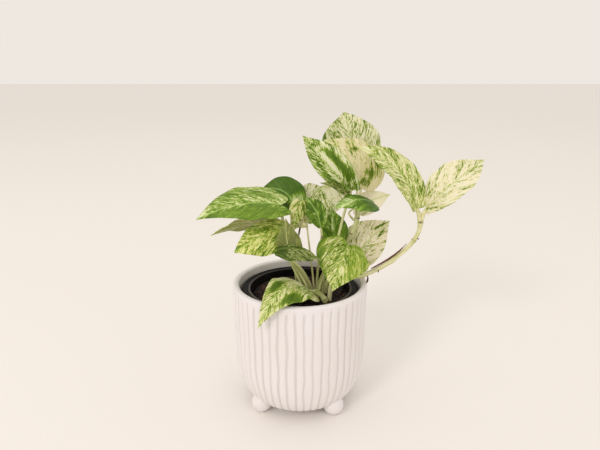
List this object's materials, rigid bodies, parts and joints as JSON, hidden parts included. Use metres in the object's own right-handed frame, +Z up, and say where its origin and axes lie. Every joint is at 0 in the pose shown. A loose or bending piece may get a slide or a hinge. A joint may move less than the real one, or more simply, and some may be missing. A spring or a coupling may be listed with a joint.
{
  "type": "potted pothos plant",
  "caption": "Variegated trailing pothos in a black plastic nursery pot set inside a fluted white ceramic cover pot that stands on small ball feet",
  "frame": {"origin": "middle of the whole plant's footprint, at the height of the pot's feet", "axes": "+Z up; the plant is seen from its front along +Y, with its longest vine reaching towards +X"},
  "size_m": [0.256, 0.1274, 0.268],
  "materials": {
    "glazed_pot": "satin",
    "nursery_plastic": "satin",
    "potting_soil": "matte",
    "green_stem": "satin",
    "dried_sheath": "matte",
    "leaf_green": "satin",
    "leaf_marbled": "satin",
    "leaf_cream": "satin",
    "leaf_olive": "matte"
  },
  "bodies": {
    "root": {"cover_pot": "glazed_pot", "nursery_pot": "nursery_plastic", "soil": "potting_soil", "main_stem": "green_stem", "runner_vine": "green_stem", "upper_vine": "green_stem", "dry_sheath": "dried_sheath", "stalk_left_long": "green_stem", "leaf_left_long": "leaf_green", "stalk_left_dark": "green_stem", "leaf_left_dark": "leaf_green", "stalk_left_under": "green_stem", "leaf_left_under": "leaf_olive", "stalk_left_bright": "green_stem", "leaf_left_bright": "leaf_marbled", "stalk_left_upright": "green_stem", "leaf_left_upright": "leaf_olive", "stalk_shaded": "green_stem", "leaf_shaded": "leaf_olive", "stalk_hood": "green_stem", "leaf_hood": "leaf_olive", "stalk_speckled_small": "green_stem", "leaf_speckled_small": "leaf_cream", "stalk_small_dark": "green_stem", "leaf_small_dark": "leaf_green", "stalk_back_pale": "green_stem", "leaf_back_pale": "leaf_cream", "stalk_centre_green": "green_stem", "leaf_centre_green": "leaf_green", "stalk_right_pale": "green_stem", "leaf_right_pale": "leaf_cream", "stalk_front_right": "green_stem", "leaf_front_right": "leaf_marbled", "leaf_front_droop": "leaf_marbled", "stalk_top_striped": "green_stem", "leaf_top_striped": "leaf_marbled", "stalk_top_folded": "green_stem", "leaf_top_folded": "leaf_olive", "stalk_middle_dark": "green_stem", "leaf_middle_dark": "leaf_green", "stalk_top_patched": "green_stem", "leaf_top_patched": "leaf_cream", "stalk_top_speckled": "green_stem", "leaf_top_speckled": "leaf_cream", "stalk_back_white": "green_stem", "leaf_back_white": "leaf_cream", "stalk_vine_left": "green_stem", "leaf_vine_left": "leaf_marbled", "stalk_vine_right": "green_stem", "leaf_vine_right": "leaf_cream"}
  },
  "joints": []
}
